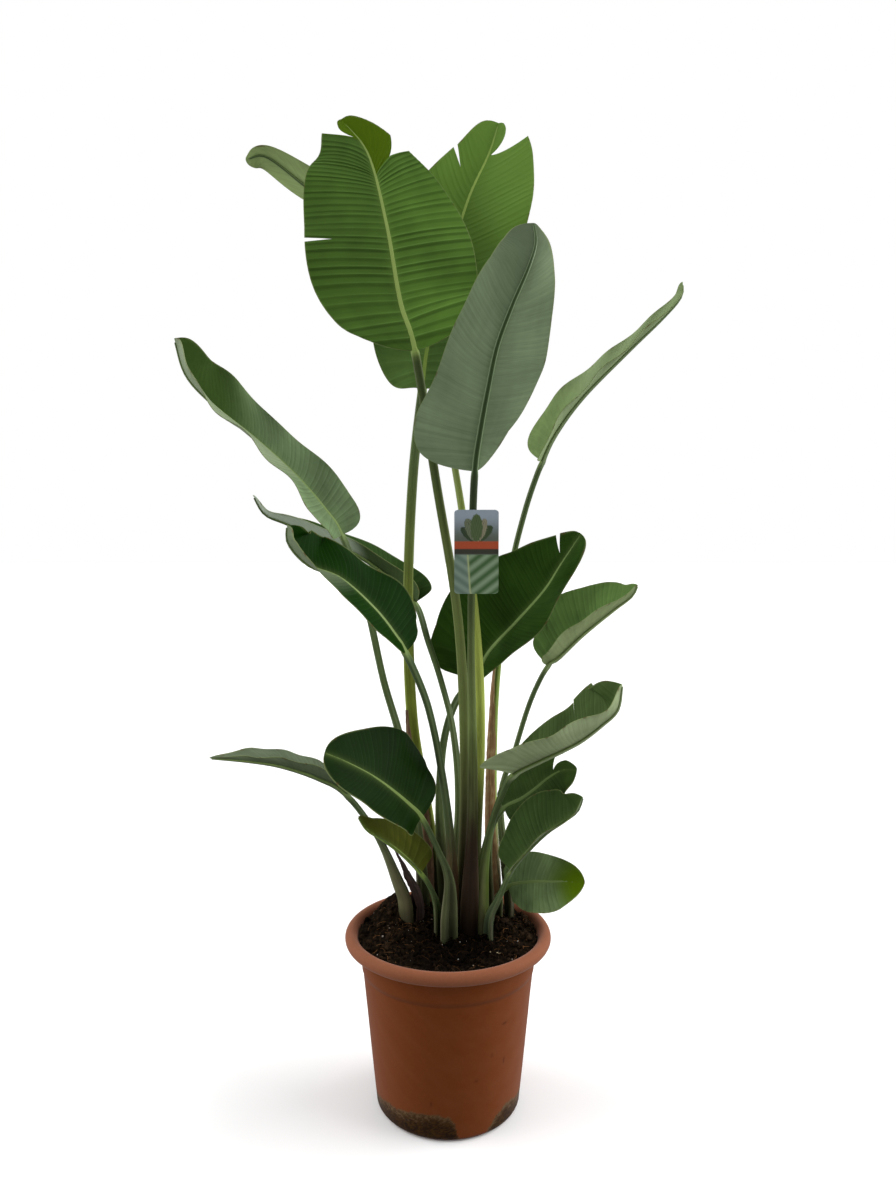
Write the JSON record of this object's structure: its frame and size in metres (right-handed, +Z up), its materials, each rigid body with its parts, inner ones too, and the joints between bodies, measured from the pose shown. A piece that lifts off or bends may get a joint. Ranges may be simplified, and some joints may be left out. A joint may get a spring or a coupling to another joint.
{
  "type": "potted plant",
  "caption": "Bird of paradise house plant with long stalks, paddle-shaped leaves and dry leaf bases, standing in peat in a terracotta coloured pot with a plain label card.",
  "frame": {"origin": "middle of the pot's underside, where the pot rests", "axes": "+Z up; the picture looks along +Y, with +X to its right"},
  "size_m": [0.7523, 0.486, 1.6332],
  "materials": {
    "leaf": "satin, waxy",
    "dry_sheath": "matte, papery",
    "peat": "matte, crumbly",
    "pot": "matte",
    "label": "smooth printed card"
  },
  "bodies": {
    "root": {"pot": "pot", "soil": "peat", "leaf_tall_front": "leaf", "leaf_tall_back": "leaf", "leaf_tall_right": "leaf", "leaf_tall_left": "leaf", "leaf_mid_far_left": "leaf", "leaf_mid_left": "leaf", "leaf_mid_left_behind": "leaf", "leaf_mid_far_right": "leaf", "leaf_mid_centre": "leaf", "leaf_mid_right": "leaf", "leaf_low_right_upper": "leaf", "leaf_low_right_second": "leaf", "leaf_low_right_third": "leaf", "leaf_low_right_lowest": "leaf", "leaf_low_left_broad": "leaf", "leaf_low_far_left": "leaf", "leaf_low_left_small": "leaf", "dry_sheath_right": "dry_sheath", "dry_sheath_left": "dry_sheath", "dry_sheath_far_left": "dry_sheath", "plant_label": "label"}
  },
  "joints": []
}
